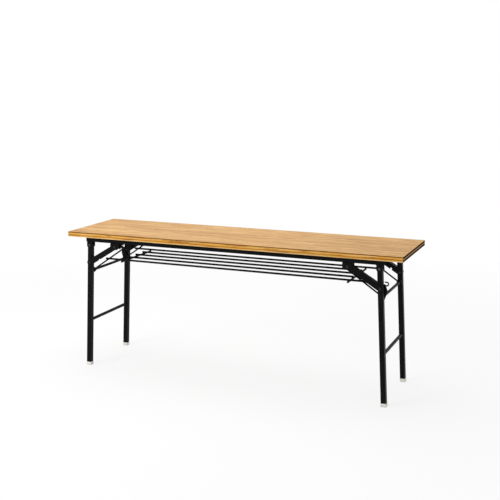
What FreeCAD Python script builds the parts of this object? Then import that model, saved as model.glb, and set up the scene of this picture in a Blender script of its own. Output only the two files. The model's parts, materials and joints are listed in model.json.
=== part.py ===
import FreeCAD, Part
import math
import os

# A folding work table: a wood-grain top on two steel rails, two leg frames that fold flat
# under it, sliding U-braces that hold the legs open, and a wire shelf under the top.
# Millimetres, +Z up, X along the table, -Y towards the viewer, origin on the floor under the middle.

# Table top
table_length = 1800.0
table_depth = 450.0
table_height = 720.0
core_t = 23.6
laminate_t = 1.2
laminate_ease = 0.4
backing_t = 1.2
edge_band_t = 2.0
edge_round = 0.9

# Rails under the long edges, each a web strip with a flange strip under each side, open downwards
rail_setback = 26.0
rail_width = 25.0
rail_height = 25.0
rail_wall = 1.6
rail_end_inset = 95.0

# Screws that hold the rails to the top
screw_r = 2.2
screw_depth = 15.0
screw_tip_gap = 1.0
screw_head_r = 5.0
screw_face_r = 3.5
screw_head_h = 2.2
screw_end_inset = 60.0
screw_inner_x = 420.0
screw_middle_x = 140.0

# Leg frames
leg_size = 25.4
leg_wall = 1.2
leg_corner = 2.2
leg_inner_corner = 1.0
leg_pivot_inset = 116.0
leg_splay = 2.0
crossbar_r = 8.0
crossbar_wall = 1.2
crossbar_height = 243.0

# Rounded caps on the feet
foot_wall = 1.5
foot_grip = 12.0
foot_sole = 4.5
foot_corner = 4.0
foot_round = 1.2

# Hangers that hold the tops of the legs
hanger_t = 2.0
hanger_half_width = 15.5
hanger_corner_r = 8.0
hanger_below_pivot = 11.0
hanger_side_gap = 0.5
pivot_r = 4.0
pivot_head_r = 7.0
pivot_head_h = 3.6
pivot_head_round = 2.1
nut_across_flats = 13.0
nut_h = 6.5
bolt_tail = 2.0

# Braces, channels that straddle the legs
brace_t = 1.5
brace_side_gap = 0.8
brace_cover_gap = 0.5
brace_drop = 92.5
brace_span = 156.5
brace_half_height = 10.0
brace_foot_r = 13.5
brace_web_top_cut = 4.0
brace_web_foot_cut = 27.0
brace_pin_r = 4.0
rivet_head_r = 6.5
rivet_head_h = 1.8
shaft_notch_gap = 0.5

# Carriages that slide in the rails at the tops of the braces
carriage_t = 2.0
carriage_side_gap = 0.3
carriage_top_gap = 1.3
carriage_half_top = 25.0
carriage_half_foot = 15.0
carriage_below_pivot = 14.0
carriage_shoulder_drop = 4.5
rail_gap = 1.0
shoe_half_length = 20.0
shoe_side_gap = 0.7
shoe_top_gap = 4.5
shoe_corner_r = 4.0

# Release shaft, lever and finger hook
shaft_drop = 139.0
shaft_r = 7.0
shaft_journal_r = 3.5
shaft_shoulder_gap = 0.5
shaft_in_tube = 4.0
lever_side_gap = 0.5
lever_t = 3.0
lever_hub_r = 15.0
lever_knee_r = 12.0
lever_knee_x = 14.0
lever_knee_z = 31.5
lever_tip_r = 7.0
lever_tip_x = 12.0
lever_tip_z = 56.0
hook_wire_r = 3.2
hook_bend_r = 8.2
hook_out = 11.6
hook_return = 9.0

# Pull rods with a saddle for the shelf
rod_r = 4.0
rod_gap = 1.4
rod_run = 173.5
rod_rise = 118.0
rod_eye_r = 13.0
rod_bend_r = 14.0
rod_bend_turn = 50.0
rod_tail = 12.0
saddle_r = 2.5
saddle_over = 4.0
saddle_gap = 0.3

# Wire shelf
shelf_drop = 119.0
wire_r = 5.0
wire_gap = 1.0
wire_end_round = 1.5
wire_past_saddle = 10.0
crosswire_inset = 88.0
inner_wire_count = 3
weld_gap = 0.02

# Running clearance of pins and shafts in their holes
run_gap = 0.05

# How far a cutting shape reaches past what it cuts, and the most of a wall that a fillet takes
cut_over = 1.0
fillet_share = 0.8

# Nearness and straightness by which edges are picked
touch = 0.01
upright_share = 0.99

# Places worked out from the sizes above
top_t = laminate_t + core_t + backing_t
underside = table_height - top_t
rail_bottom = underside - rail_height
rail_y = table_depth / 2 - rail_setback - rail_width / 2
rail_half_length = table_length / 2 - rail_end_inset
half_leg = leg_size / 2

carriage_web_top = rail_bottom - rail_gap
brace_top = half_leg + brace_cover_gap + brace_t
pivot_x = table_length / 2 - leg_pivot_inset
pivot_z = carriage_web_top - carriage_t - carriage_top_gap - brace_top
splay = math.radians(leg_splay)

# Distances across one leg frame, outwards from the middle of a leg's side
flange_in = half_leg + brace_side_gap
flange_out = flange_in + brace_t
carriage_in = flange_out + carriage_side_gap
carriage_out = carriage_in + carriage_t
lever_in = flange_out + run_gap + rivet_head_h + lever_side_gap
lever_mid = lever_in + lever_t / 2
rod_mid = lever_mid + max(lever_t / 2, hook_wire_r) + rod_gap + rod_r
shelf_side = rod_mid + rod_r + wire_gap + wire_r

# Pivots of the right-hand end, as (x, z)
pivot = (pivot_x, pivot_z)
brace_foot = (pivot_x + brace_drop * math.sin(splay), pivot_z - brace_drop * math.cos(splay))
brace_head = (brace_foot[0] - brace_span, pivot_z)
brace_length = math.hypot(brace_span, brace_head[1] - brace_foot[1])
brace_angle = math.degrees(math.atan2(brace_head[1] - brace_foot[1], brace_span))
shaft = (pivot_x + shaft_drop * math.sin(splay), pivot_z - shaft_drop * math.cos(splay))
rod_length = math.hypot(rod_run, rod_rise)
rod_angle = math.degrees(math.atan2(rod_rise, rod_run))

shelf_z = underside - shelf_drop
shelf_y = rail_y - shelf_side
saddle_z = shelf_z - wire_r - saddle_gap - saddle_r
saddle_along = (saddle_z - shaft[1]) / math.sin(math.radians(rod_angle))
saddle_x = shaft[0] - saddle_along * math.cos(math.radians(rod_angle))
crosswire_x = saddle_x - crosswire_inset


def block(x0, x1, y0, y1, z0, z1):
    return Part.makeBox(x1 - x0, y1 - y0, z1 - z0, FreeCAD.Vector(x0, y0, z0))


def bar_y(x, z, r, y0, y1):
    low = min(y0, y1)
    return Part.makeCylinder(r, abs(y1 - y0), FreeCAD.Vector(x, low, z), FreeCAD.Vector(0, 1, 0))


def bar_x(x0, x1, y, z, r):
    return Part.makeCylinder(r, x1 - x0, FreeCAD.Vector(x0, y, z), FreeCAD.Vector(1, 0, 0))


def turn_about(shape, centre, degrees):
    turned = shape.copy()
    turned.rotate(FreeCAD.Vector(centre[0], 0, centre[1]), FreeCAD.Vector(0, 1, 0), degrees)
    return turned


def half_turn(shape):
    turned = shape.copy()
    turned.rotate(FreeCAD.Vector(0, 0, 0), FreeCAD.Vector(0, 0, 1), 180)
    return turned


def joined(shapes):
    whole = shapes[0].fuse(shapes[1:])
    return whole.removeSplitter()


def plate_xz(points, y0, y1):
    corners = [FreeCAD.Vector(x, min(y0, y1), z) for x, z in points]
    outline = Part.makePolygon(corners + corners[:1])
    return Part.Face(outline).extrude(FreeCAD.Vector(0, abs(y1 - y0), 0))


def strap(first, first_r, second, second_r, y0, y1):
    # A flat link with round ends, its straight sides tangent to both ends
    run = math.hypot(second[0] - first[0], second[1] - first[1])
    heading = math.atan2(second[1] - first[1], second[0] - first[0])
    lean = math.acos((first_r - second_r) / run)
    ends = ((first, first_r), (second, second_r))
    sides = []
    for way, order in ((1, ends), (-1, ends[::-1])):
        bearing = heading + way * lean
        for centre, r in order:
            sides.append((centre[0] + r * math.cos(bearing), centre[1] + r * math.sin(bearing)))
    rounds = [bar_y(centre[0], centre[1], r, y0, y1) for centre, r in ends]
    return joined([plate_xz(sides, y0, y1)] + rounds)


def bent_wire(path_edges, start, heading, r):
    path = Part.Wire(path_edges)
    section = Part.Wire(Part.makeCircle(r, start, heading))
    return path.makePipeShell([section], True, False)


def edges_along_z(shape):
    return [e for e in shape.Edges if abs(e.tangentAt(e.FirstParameter).z) > upright_share]


# Table top
def make_top():
    half_x = table_length / 2
    half_y = table_depth / 2
    core_x = half_x - edge_band_t
    core_y = half_y - edge_band_t
    core_low = underside + backing_t
    core_high = core_low + core_t
    core = block(-core_x, core_x, -core_y, core_y, core_low, core_high)
    backing = block(-core_x, core_x, -core_y, core_y, underside, core_low)

    # The laminate lies over the board and its bands
    laminate = block(-half_x, half_x, -half_y, half_y, core_high, table_height)
    laminate = laminate.makeFillet(edge_round, edges_along_z(laminate))
    upper = [e for e in laminate.Edges if e.BoundBox.ZMin > table_height - touch]
    laminate = laminate.makeFillet(min(laminate_ease, laminate_t * fillet_share), upper)

    long_band = block(-core_x, core_x, -half_y, -core_y, underside, core_high)
    lower = [e for e in long_band.Edges
             if e.BoundBox.YMax < touch - half_y and e.BoundBox.ZMax < underside + touch]
    long_band = long_band.makeFillet(edge_round, lower)

    end_band = block(core_x, half_x, -half_y, half_y, underside, core_high)
    outer = [e for e in end_band.Edges
             if e.BoundBox.XMin > half_x - touch and e.BoundBox.ZMin < core_high - touch]
    end_band = end_band.makeFillet(edge_round, outer)
    return {
        "top_core": core,
        "top_laminate": laminate,
        "backing_sheet": backing,
        "front_edge_band": long_band,
        "back_edge_band": half_turn(long_band),
        "right_end_band": end_band,
        "left_end_band": half_turn(end_band),
    }


# Rails and their screws
def screw_places():
    end_x = rail_half_length - screw_end_inset
    xs = [-end_x, -screw_inner_x, -screw_middle_x, screw_middle_x, screw_inner_x, end_x]
    return [(x, side * rail_y) for side in (-1, 1) for x in xs]


def make_rail():
    reach = rail_half_length
    half = rail_width / 2
    seam = underside - rail_wall
    strips = [block(-reach, reach, -rail_y - half, -rail_y + half, seam, underside)]
    for near in (-half, half - rail_wall):
        edge = near - rail_y
        strips.append(block(-reach, reach, edge, edge + rail_wall, rail_bottom, seam))
    return strips


def screw_hole(x, y):
    depth = rail_wall + screw_depth
    return Part.makeCylinder(screw_r + run_gap, depth, FreeCAD.Vector(x, y, underside - rail_wall))


def rail_screw(x, y):
    seat = underside - rail_wall
    length = rail_wall + screw_depth - screw_tip_gap
    shank = Part.makeCylinder(screw_r, length, FreeCAD.Vector(x, y, seat))
    low = FreeCAD.Vector(x, y, seat - screw_head_h)
    head = Part.makeCone(screw_face_r, screw_head_r, screw_head_h, low)
    return joined([shank, head])


# Hangers and the bolts that the legs turn on
def make_hanger(y):
    inner = half_leg + hanger_side_gap
    outer = inner + hanger_t
    x0 = pivot_x - hanger_half_width
    x1 = pivot_x + hanger_half_width
    low = pivot_z - hanger_below_pivot
    web = block(x0, x1, y - outer, y + outer, rail_bottom - hanger_t, rail_bottom)
    cheeks = []
    for near, far in ((y - outer, y - inner), (y + inner, y + outer)):
        cheek = block(x0, x1, near, far, low, rail_bottom)
        corners = [e for e in cheek.Edges
                   if e.BoundBox.ZMax < low + touch and e.BoundBox.XLength < touch]
        cheeks.append(cheek.makeFillet(hanger_corner_r, corners))
    hanger = joined([web] + cheeks)
    return hanger.cut(bar_y(pivot_x, pivot_z, pivot_r + run_gap, y - outer - cut_over, y + outer + cut_over))


def make_pivot_bolt(y, way):
    # The head is on the outside of the table, and way points from there to the middle
    reach = half_leg + hanger_side_gap + hanger_t
    face_y = y - way * (reach + pivot_head_h)
    nut_y = y + way * reach
    shank = bar_y(pivot_x, pivot_z, pivot_r, y - way * reach, nut_y + way * (nut_h + bolt_tail))
    head = bar_y(pivot_x, pivot_z, pivot_head_r, face_y, y - way * reach)
    rim = [e for e in head.Edges
           if abs(e.BoundBox.YMin - face_y) < touch and e.BoundBox.YLength < touch]
    head = head.makeFillet(min(pivot_head_round, pivot_head_h * fillet_share), rim)
    corner = nut_across_flats / math.sqrt(3)
    bearings = [math.radians(60 * k) for k in range(6)]
    hexagon = [(pivot_x + corner * math.cos(b), pivot_z + corner * math.sin(b)) for b in bearings]
    nut_end = nut_y + way * nut_h
    nut = plate_xz(hexagon, nut_y, nut_end)
    hole = bar_y(pivot_x, pivot_z, pivot_r + run_gap, nut_y - way * cut_over, nut_end + way * cut_over)
    return joined([shank, head]), nut.cut(hole)


# Leg frames, drawn upright under the pivot and then splayed outwards
def make_leg(y, way):
    x = pivot_x
    sole_top = pivot_z - pivot_z / math.cos(splay) + foot_sole
    tube = block(x - half_leg, x + half_leg, y - half_leg, y + half_leg, sole_top, pivot_z + half_leg)
    tube = tube.makeFillet(leg_corner, edges_along_z(tube))
    inside = half_leg - leg_wall
    low = sole_top - cut_over
    hollow = block(x - inside, x + inside, y - inside, y + inside, low, pivot_z + leg_size)
    hollow = hollow.makeFillet(leg_inner_corner, edges_along_z(hollow))
    tube = tube.cut(hollow)
    below = block(x - leg_size, x + leg_size, y - leg_size, y + leg_size, low, pivot_z)
    crown = bar_y(x, pivot_z, half_leg, y - leg_size, y + leg_size)
    tube = tube.common(below.fuse(crown))
    pivot_hole = bar_y(x, pivot_z, pivot_r + run_gap, y - leg_size, y + leg_size)
    brace_hole = bar_y(x, pivot_z - brace_drop, brace_pin_r + run_gap, y - leg_size, y + leg_size)
    shaft_hole = bar_y(x, pivot_z - shaft_drop, shaft_journal_r + run_gap, y, y + way * leg_size)
    tube = tube.cut([pivot_hole, brace_hole, shaft_hole])
    return turn_about(tube, pivot, -leg_splay)


def make_foot(y):
    x = pivot_x
    half = half_leg + foot_wall
    floor_at = pivot_z - pivot_z / math.cos(splay)
    low = floor_at - half * math.tan(splay)
    sole_top = floor_at + foot_sole
    brim = sole_top + foot_grip
    cap = block(x - half, x + half, y - half, y + half, low, brim)
    cap = cap.makeFillet(foot_corner, edges_along_z(cap))
    rims = [e for e in cap.Edges if e.BoundBox.ZMax < low + touch or e.BoundBox.ZMin > brim - touch]
    cap = cap.makeFillet(min(foot_round, foot_wall * fillet_share), rims)
    bore = half_leg + run_gap
    socket = block(x - bore, x + bore, y - bore, y + bore, sole_top, brim + cut_over)
    socket = socket.makeFillet(leg_corner, edges_along_z(socket))
    cap = turn_about(cap.cut(socket), pivot, -leg_splay)
    below_floor = block(-table_length, table_length, -table_depth, table_depth, -leg_size, 0)
    return cap.cut(below_floor)


def make_crossbar():
    end_y = rail_y - half_leg
    outer = bar_y(pivot_x, crossbar_height, crossbar_r, -end_y, end_y)
    bore = bar_y(pivot_x, crossbar_height, crossbar_r - crossbar_wall, -end_y, end_y)
    return turn_about(outer.cut(bore), pivot, -leg_splay)


def make_brace_pin(y):
    # A pin through the leg with a flat round head beyond each flange of the brace
    x, z = brace_foot
    reach = flange_out + run_gap
    heads = [bar_y(x, z, rivet_head_r, y + way * reach, y + way * (reach + rivet_head_h)) for way in (-1, 1)]
    return joined([bar_y(x, z, brace_pin_r, y - reach, y + reach)] + heads)


# Braces, drawn lying along the folded leg with the foot at the origin
def make_brace(y, way):
    top_x0 = -brace_length + brace_web_top_cut
    top_x1 = -brace_web_foot_cut
    flanges = []
    for near, far in ((-flange_out, -flange_in), (flange_in, flange_out)):
        body = strap((0, 0), brace_foot_r, (-brace_length, 0), brace_half_height, near, far)
        upper = block(top_x0, top_x1, near, far, 0, brace_top)
        flanges.append(joined([body, upper]))
    web = block(top_x0, top_x1, -flange_out, flange_out, brace_top - brace_t, brace_top)
    channel = joined([web] + flanges)
    past = flange_out + cut_over
    pin_holes = [bar_y(x, 0, brace_pin_r + run_gap, -past, past) for x in (0, -brace_length)]
    channel = channel.cut(pin_holes + [shaft_notch(way)])
    channel.translate(FreeCAD.Vector(brace_foot[0], y, brace_foot[1]))
    return turn_about(channel, brace_foot, brace_angle)


def shaft_notch(way):
    # The journal of the release shaft swings into the brace's inner flange along an arc about its foot
    swing = shaft_drop - brace_drop
    room = shaft_journal_r + shaft_notch_gap
    reach = swing + room
    y0 = way * (flange_in - cut_over)
    y1 = way * (flange_out + cut_over)
    ring = bar_y(0, 0, reach, y0, y1).cut(bar_y(0, 0, swing - room, y0, y1))
    quarter = block(-reach, 0, -flange_out - cut_over, flange_out + cut_over, -reach, 0)
    return joined([ring.common(quarter), bar_y(-swing, 0, room, y0, y1)])


# Carriages, their shoes and the stub rivets at the heads of the braces
def make_carriage(y):
    x, z = brace_head
    left = x - carriage_half_top
    right = x + carriage_half_top
    top = carriage_web_top
    low = z - carriage_below_pivot
    shoulder = z - carriage_shoulder_drop
    outline = [(left, top), (right, top), (right, shoulder), (x + carriage_half_foot, low),
               (x - carriage_half_foot, low), (left, shoulder)]
    web = block(left, right, y - carriage_out, y + carriage_out, top - carriage_t, top)
    cheeks = []
    for way in (-1, 1):
        cheeks.append(plate_xz(outline, y + way * carriage_in, y + way * carriage_out))
    carriage = joined([web] + cheeks)
    past = carriage_out + cut_over
    return carriage.cut(bar_y(x, z, brace_pin_r + run_gap, y - past, y + past))


def make_shoe(y):
    x = brace_head[0]
    half = rail_width / 2 - rail_wall - shoe_side_gap
    top = underside - rail_wall - shoe_top_gap
    shoe = block(x - shoe_half_length, x + shoe_half_length, y - half, y + half, carriage_web_top, top)
    return shoe.makeFillet(min(shoe_corner_r, half * fillet_share), edges_along_z(shoe))


def make_slide_rivets(y):
    # Stub rivets stop short of the leg, which lies between the flanges when it is folded
    x, z = brace_head
    rivets = []
    for way in (-1, 1):
        start = y + way * (flange_in - brace_side_gap / 2)
        end = y + way * carriage_out
        shank = bar_y(x, z, brace_pin_r, start, end)
        head = bar_y(x, z, rivet_head_r, end, end + way * rivet_head_h)
        rivets.append(joined([shank, head]))
    return rivets


# Release shaft, lever and pull rods
def make_shaft():
    # A round bar between the braces, turned down to a journal that sits in each leg
    shoulder_y = rail_y - flange_out - shaft_shoulder_gap
    end_y = rail_y - half_leg + shaft_in_tube
    bar = bar_y(shaft[0], shaft[1], shaft_r, -shoulder_y, shoulder_y)
    return joined([bar, bar_y(shaft[0], shaft[1], shaft_journal_r, -end_y, end_y)])


def make_lever(y, way):
    # Drawn with the shaft at the origin, on the inner side of one leg
    near = y + way * lever_in
    far = y + way * (lever_in + lever_t)
    mid = y + way * lever_mid
    knee = (lever_knee_x, lever_knee_z)
    tip = (lever_tip_x, lever_tip_z)
    plate = joined([strap((0, 0), lever_hub_r, knee, lever_knee_r, near, far),
                    strap(knee, lever_knee_r, tip, lever_tip_r, near, far)])
    plate = plate.cut(bar_y(0, 0, shaft_r + run_gap, near - way * cut_over, far + way * cut_over))
    start = FreeCAD.Vector(tip[0], mid, tip[1])
    out = FreeCAD.Vector(tip[0] + hook_out, mid, tip[1])
    crown = FreeCAD.Vector(out.x + hook_bend_r, mid, out.z + hook_bend_r)
    back = FreeCAD.Vector(out.x, mid, out.z + 2 * hook_bend_r)
    end = FreeCAD.Vector(back.x - hook_return, mid, back.z)
    path = [Part.LineSegment(start, out).toShape(),
            Part.Arc(out, crown, back).toShape(),
            Part.LineSegment(back, end).toShape()]
    hook = bent_wire(path, start, FreeCAD.Vector(1, 0, 0), hook_wire_r)
    lever = joined([plate, hook])
    lever.translate(FreeCAD.Vector(shaft[0], 0, shaft[1]))
    return turn_about(lever, shaft, -leg_splay)


def make_rod(y, way):
    # Drawn lying flat with its eye at the origin, then raised to its slope
    mid = y + way * rod_mid
    turn = math.radians(rod_bend_turn)

    def on_bend(angle):
        x = -rod_length - rod_bend_r * math.sin(angle)
        return FreeCAD.Vector(x, mid, rod_bend_r * (1 - math.cos(angle)))

    start = FreeCAD.Vector(-(shaft_r + rod_eye_r) / 2, mid, 0)
    bend_end = on_bend(turn)
    tail = bend_end + FreeCAD.Vector(-rod_tail * math.cos(turn), 0, rod_tail * math.sin(turn))
    path = [Part.LineSegment(start, on_bend(0)).toShape(),
            Part.Arc(on_bend(0), on_bend(turn / 2), bend_end).toShape(),
            Part.LineSegment(bend_end, tail).toShape()]
    wire = bent_wire(path, start, FreeCAD.Vector(-1, 0, 0), rod_r)
    eye = bar_y(0, 0, rod_eye_r, mid - rod_r, mid + rod_r)
    saddle = bar_y(-saddle_along, 0, saddle_r, mid, y + way * (shelf_side + saddle_over))
    rod = joined([wire, eye, saddle])
    past = rod_r + cut_over
    rod = rod.cut(bar_y(0, 0, shaft_r + run_gap, mid - past, mid + past))
    rod.translate(FreeCAD.Vector(shaft[0], 0, shaft[1]))
    return turn_about(rod, shaft, rod_angle)


# Wire shelf
def make_shelf():
    reach = saddle_x + wire_past_saddle
    front = bar_x(-reach, reach, -shelf_y, shelf_z, wire_r)
    ends = [e for e in front.Edges if e.BoundBox.XLength < touch]
    front = front.makeFillet(min(wire_end_round, wire_r * fillet_share), ends)
    pitch = 2 * shelf_y / (inner_wire_count + 1)
    inner_reach = crosswire_x + wire_r
    inner = []
    for k in range(inner_wire_count):
        inner.append(bar_x(-inner_reach, inner_reach, -shelf_y + (k + 1) * pitch, shelf_z, wire_r))
    under = shelf_z - 2 * wire_r - weld_gap
    cross = bar_y(crosswire_x, under, wire_r, -shelf_y - wire_r, shelf_y + wire_r)
    return {
        "front_shelf_wire": front,
        "back_shelf_wire": half_turn(front),
        "inner_shelf_wires": Part.makeCompound(inner),
        "right_shelf_crosswire": cross,
        "left_shelf_crosswire": half_turn(cross),
    }


def make_right_end():
    nodes = {}
    groups = {"brace_pins": [], "slide_rivets": [], "slide_shoes": []}
    for row, way in (("front", 1), ("back", -1)):
        y = -way * rail_y
        nodes[row, "hanger"] = make_hanger(y)
        nodes[row, "leg"] = make_leg(y, way)
        nodes[row, "foot"] = make_foot(y)
        nodes[row, "brace"] = make_brace(y, way)
        nodes[row, "carriage"] = make_carriage(y)
        nodes[row, "pull_rod"] = make_rod(y, way)
        groups["brace_pins"].append(make_brace_pin(y))
        groups["slide_rivets"].extend(make_slide_rivets(y))
        groups["slide_shoes"].append(make_shoe(y))
    nodes["", "crossbar"] = make_crossbar()
    nodes["", "release_shaft"] = make_shaft()
    nodes["", "release_lever"] = make_lever(-rail_y, 1)
    for name, solids in groups.items():
        nodes["", name] = Part.makeCompound(solids)
    return nodes


def main():
    nodes = make_top()

    rail = make_rail()
    holes = [screw_hole(x, y) for x, y in screw_places()]
    nodes["front_rail"] = Part.makeCompound([strip.cut(holes) for strip in rail])
    nodes["back_rail"] = Part.makeCompound([half_turn(strip).cut(holes) for strip in rail])
    nodes["backing_sheet"] = nodes["backing_sheet"].cut(holes)
    nodes["top_core"] = nodes["top_core"].cut(holes)
    nodes["rail_screws"] = Part.makeCompound([rail_screw(x, y) for x, y in screw_places()])

    bolts = []
    nuts = []
    for y, way in ((-rail_y, 1), (rail_y, -1)):
        bolt, nut = make_pivot_bolt(y, way)
        bolts.extend([bolt, half_turn(bolt)])
        nuts.extend([nut, half_turn(nut)])
    nodes["leg_pivot_bolts"] = Part.makeCompound(bolts)
    nodes["leg_pivot_nuts"] = Part.makeCompound(nuts)

    # The left-hand end is the right-hand end turned half round
    opposite = {"front": "back", "back": "front", "": ""}
    for (row, piece), shape in make_right_end().items():
        nodes["_".join(filter(None, (row, "right", piece)))] = shape
        nodes["_".join(filter(None, (opposite[row], "left", piece)))] = half_turn(shape)

    nodes.update(make_shelf())

    os.makedirs("parts", exist_ok=True)
    for name, shape in nodes.items():
        shape.exportStep("parts/" + name + ".step")
        print(name, "solids", len(shape.Solids), "valid", shape.isValid(), "volume", round(shape.Volume, 1))
    print("nodes", len(nodes))
    print("pivot", pivot, "brace_foot", brace_foot, "brace_head", brace_head, "shaft", shaft)
    print("brace_angle", brace_angle, "rod_angle", rod_angle, "shelf_z", shelf_z, "saddle_x", saddle_x)


main()
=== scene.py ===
import bpy
import bmesh
import json
import math
from mathutils import Matrix, Vector, noise


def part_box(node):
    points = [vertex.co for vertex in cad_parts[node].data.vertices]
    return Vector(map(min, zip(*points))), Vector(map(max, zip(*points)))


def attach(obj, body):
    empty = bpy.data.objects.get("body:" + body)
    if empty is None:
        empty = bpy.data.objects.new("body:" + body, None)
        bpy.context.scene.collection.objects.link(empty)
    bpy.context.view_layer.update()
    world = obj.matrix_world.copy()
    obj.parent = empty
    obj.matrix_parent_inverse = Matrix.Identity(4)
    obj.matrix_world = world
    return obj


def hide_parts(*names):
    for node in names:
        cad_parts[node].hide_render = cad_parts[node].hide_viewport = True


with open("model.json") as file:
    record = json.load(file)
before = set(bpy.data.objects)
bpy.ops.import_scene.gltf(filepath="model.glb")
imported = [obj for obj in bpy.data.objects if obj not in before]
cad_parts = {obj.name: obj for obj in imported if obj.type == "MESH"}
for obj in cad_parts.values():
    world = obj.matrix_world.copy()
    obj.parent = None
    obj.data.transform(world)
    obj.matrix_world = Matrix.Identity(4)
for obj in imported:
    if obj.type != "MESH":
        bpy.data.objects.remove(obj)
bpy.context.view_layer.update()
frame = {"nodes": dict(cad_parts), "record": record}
nodes = frame["nodes"]
tableEnds = ("right", "left")
print("frame loaded,", len(nodes), "nodes")


# Small helpers for node trees
def addNode(tree, kind, values=None, **settings):
    node = tree.nodes.new(kind)
    for key, value in settings.items():
        setattr(node, key, value)
    for key, value in (values or {}).items():
        node.inputs[key].default_value = value
    return node


def plug(tree, source, target):
    tree.links.new(source, target)


def fillSocket(tree, socket, item):
    # an output is linked, a plain value is set
    if isinstance(item, bpy.types.NodeSocket):
        plug(tree, item, socket)
    else:
        socket.default_value = item


def newGroup(name, inputs, outputs):
    group = bpy.data.node_groups.new(name, "ShaderNodeTree")
    for label, kind, default in inputs:
        socket = group.interface.new_socket(label, in_out="INPUT", socket_type="NodeSocket" + kind)
        if default is not None:
            socket.default_value = default
    for label, kind in outputs:
        group.interface.new_socket(label, in_out="OUTPUT", socket_type="NodeSocket" + kind)
    start = group.nodes.new("NodeGroupInput")
    end = group.nodes.new("NodeGroupOutput")
    return group, start.outputs, end.inputs


def mathNode(tree, operation, first, second=0.0, clamp=False):
    node = addNode(tree, "ShaderNodeMath", operation=operation, use_clamp=clamp)
    fillSocket(tree, node.inputs[0], first)
    fillSocket(tree, node.inputs[1], second)
    return node.outputs[0]


def times(tree, first, second):
    return mathNode(tree, "MULTIPLY", first, second)


def plus(tree, first, second):
    return mathNode(tree, "ADD", first, second)


def blendColor(tree, factor, first, second, mode="MIX"):
    node = addNode(tree, "ShaderNodeMix", data_type="RGBA", blend_type=mode)
    for index, item in ((0, factor), (6, first), (7, second)):  # the sockets of the colour mode
        fillSocket(tree, node.inputs[index], item)
    return node.outputs[2]


def smoothRange(tree, value, low, high, toLow=0.0, toHigh=1.0):
    limits = {"From Min": low, "From Max": high, "To Min": toLow, "To Max": toHigh}
    node = addNode(tree, "ShaderNodeMapRange", limits, interpolation_type="SMOOTHSTEP")
    plug(tree, value, node.inputs["Value"])
    return node.outputs["Result"]


def stretchedNoise(tree, vector, stretch, detail=2.0, roughness=0.5, offset=(0.0, 0.0, 0.0)):
    mapping = addNode(tree, "ShaderNodeMapping", {"Scale": stretch, "Location": offset})
    plug(tree, vector, mapping.inputs["Vector"])
    values = {"Scale": 1.0, "Detail": detail, "Roughness": roughness}
    texture = addNode(tree, "ShaderNodeTexNoise", values)
    plug(tree, mapping.outputs["Vector"], texture.inputs["Vector"])
    return texture.outputs["Fac"]


def evenNoise(tree, vector, scale, detail=2.0, roughness=0.5):
    return stretchedNoise(tree, vector, (scale, scale, scale), detail, roughness)


def objectPlace(tree):
    return tree.nodes.new("ShaderNodeTexCoord").outputs["Object"]


def splitPlace(tree, place):
    parts = tree.nodes.new("ShaderNodeSeparateXYZ")
    plug(tree, place, parts.inputs["Vector"])
    return parts.outputs


# Shared effects: a noise is given as stretch or scale, detail, roughness and offset,
# a range as its two ends and what they turn into, a relief as depth and strength
surfaceOutputs = [("Color", "Color"), ("Roughness", "Float"), ("Height", "Float")]

woodPattern = {
    "sway": ((1.7, 4.0, 4.0), 2.0),
    "swayReach": 0.03,
    "broad": ((1.1, 13.0, 13.0), 2.0),
    "patch": ((4.5, 48.0, 48.0), 5.0, 0.62, (3.0, 7.0, 5.0)),
    "streak": ((1.3, 82.0, 82.0), 6.0, 0.62),
    "fine": ((7.0, 520.0, 520.0), 2.0),
    "poreDash": ((60.0, 1250.0, 1250.0), 1.0),
    "fleckDash": ((15.0, 95.0, 95.0), 2.0, 0.5, (1.0, 4.0, 8.0)),
    "ringStretch": (0.3, 1.0, 1.0),
    "rings": {"Scale": 13.0, "Distortion": 7.0, "Detail": 2.5, "Detail Scale": 1.4},
    "streakShare": 0.62,
    "broadShare": 0.38,
    "ringShare": 0.22,
    "poreRange": (0.6, 0.72),
    "fleckRange": (0.54, 0.66),
    "midRange": (0.36, 0.5),
    "paleRange": (0.48, 0.64),
    "fineShade": (0.25, 0.75, 0.9, 1.08),
    "patchRange": (0.36, 0.62),
    "glossRange": (0.3, 0.7, 0.48, 0.4),
    "poreDulling": 0.12,
    "fineRelief": 0.5,
    "relief": (0.00012, 0.35),
}


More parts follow.
